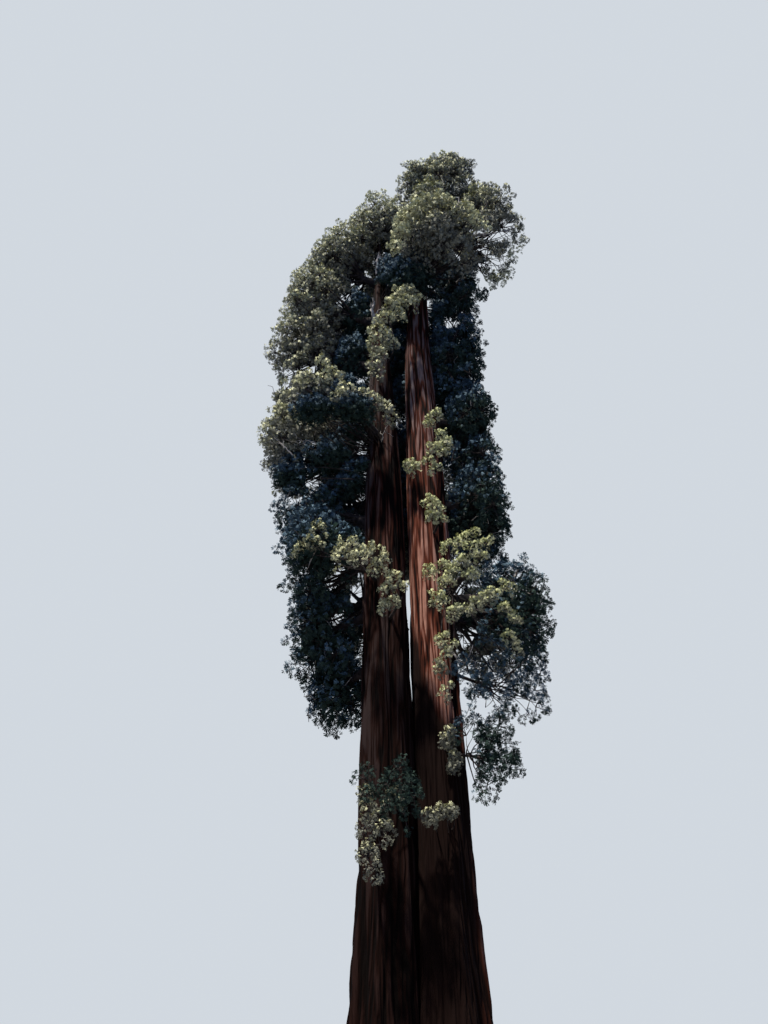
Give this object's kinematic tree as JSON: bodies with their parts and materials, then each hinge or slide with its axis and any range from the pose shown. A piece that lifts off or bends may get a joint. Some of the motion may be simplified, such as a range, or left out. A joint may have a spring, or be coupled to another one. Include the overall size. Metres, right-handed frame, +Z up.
{
  "type": "giant sequoia tree",
  "caption": "Mature giant sequoia: a forked, fluted red-barked trunk flared at the ground, with short boughs carrying billowing masses of evergreen foliage on all sides.",
  "frame": {"origin": "centre of the flat cut under the trunk, at ground level", "axes": "+Z up the trunk, +X to the right and +Y away as the tree is seen in the picture"},
  "size_m": [11.0575, 8.3357, 40],
  "materials": {
    "bark": "fibrous furrowed bark, matt",
    "limb_bark": "rough grey-brown bark, matt",
    "foliage": "scale-leaved evergreen sprays, matt"
  },
  "bodies": {
    "root": {"trunk": "bark", "bough_back_a": "limb_bark", "bough_back_b": "limb_bark", "bough_back_c": "limb_bark", "bough_back_d": "limb_bark", "bough_back_e": "limb_bark", "bough_back_f": "limb_bark", "bough_back_g": "limb_bark", "bough_back_h": "limb_bark", "bough_head_front": "limb_bark", "bough_head_right": "limb_bark", "bough_left_a": "limb_bark", "bough_left_b": "limb_bark", "bough_left_billow": "limb_bark", "bough_left_c": "limb_bark", "bough_left_d": "limb_bark", "bough_left_e": "limb_bark", "bough_left_f": "limb_bark", "bough_left_shoulder": "limb_bark", "bough_right_billow": "limb_bark", "bough_right_e": "limb_bark", "foliage_back_a": "foliage", "foliage_back_b": "foliage", "foliage_back_c": "foliage", "foliage_back_d": "foliage", "foliage_back_e": "foliage", "foliage_back_f": "foliage", "foliage_back_g": "foliage", "foliage_back_h": "foliage", "foliage_back_i": "foliage", "foliage_back_j": "foliage", "foliage_head_front": "foliage", "foliage_head_right": "foliage", "foliage_left_a": "foliage", "foliage_left_b": "foliage", "foliage_left_billow": "foliage", "foliage_left_c": "foliage", "foliage_left_d": "foliage", "foliage_left_e": "foliage", "foliage_left_f": "foliage", "foliage_left_g": "foliage", "foliage_left_h": "foliage", "foliage_left_puff": "foliage", "foliage_left_shoulder": "foliage", "foliage_left_top": "foliage", "foliage_low_front": "foliage", "foliage_low_left": "foliage", "foliage_low_right": "foliage", "foliage_right_a": "foliage", "foliage_right_b": "foliage", "foliage_right_billow": "foliage", "foliage_right_c": "foliage", "foliage_right_d": "foliage", "foliage_right_e": "foliage", "foliage_right_f": "foliage", "foliage_right_puff_a": "foliage", "foliage_right_puff_b": "foliage", "foliage_stem_front": "foliage", "foliage_stem_puff": "foliage", "foliage_top": "foliage"}
  },
  "joints": []
}
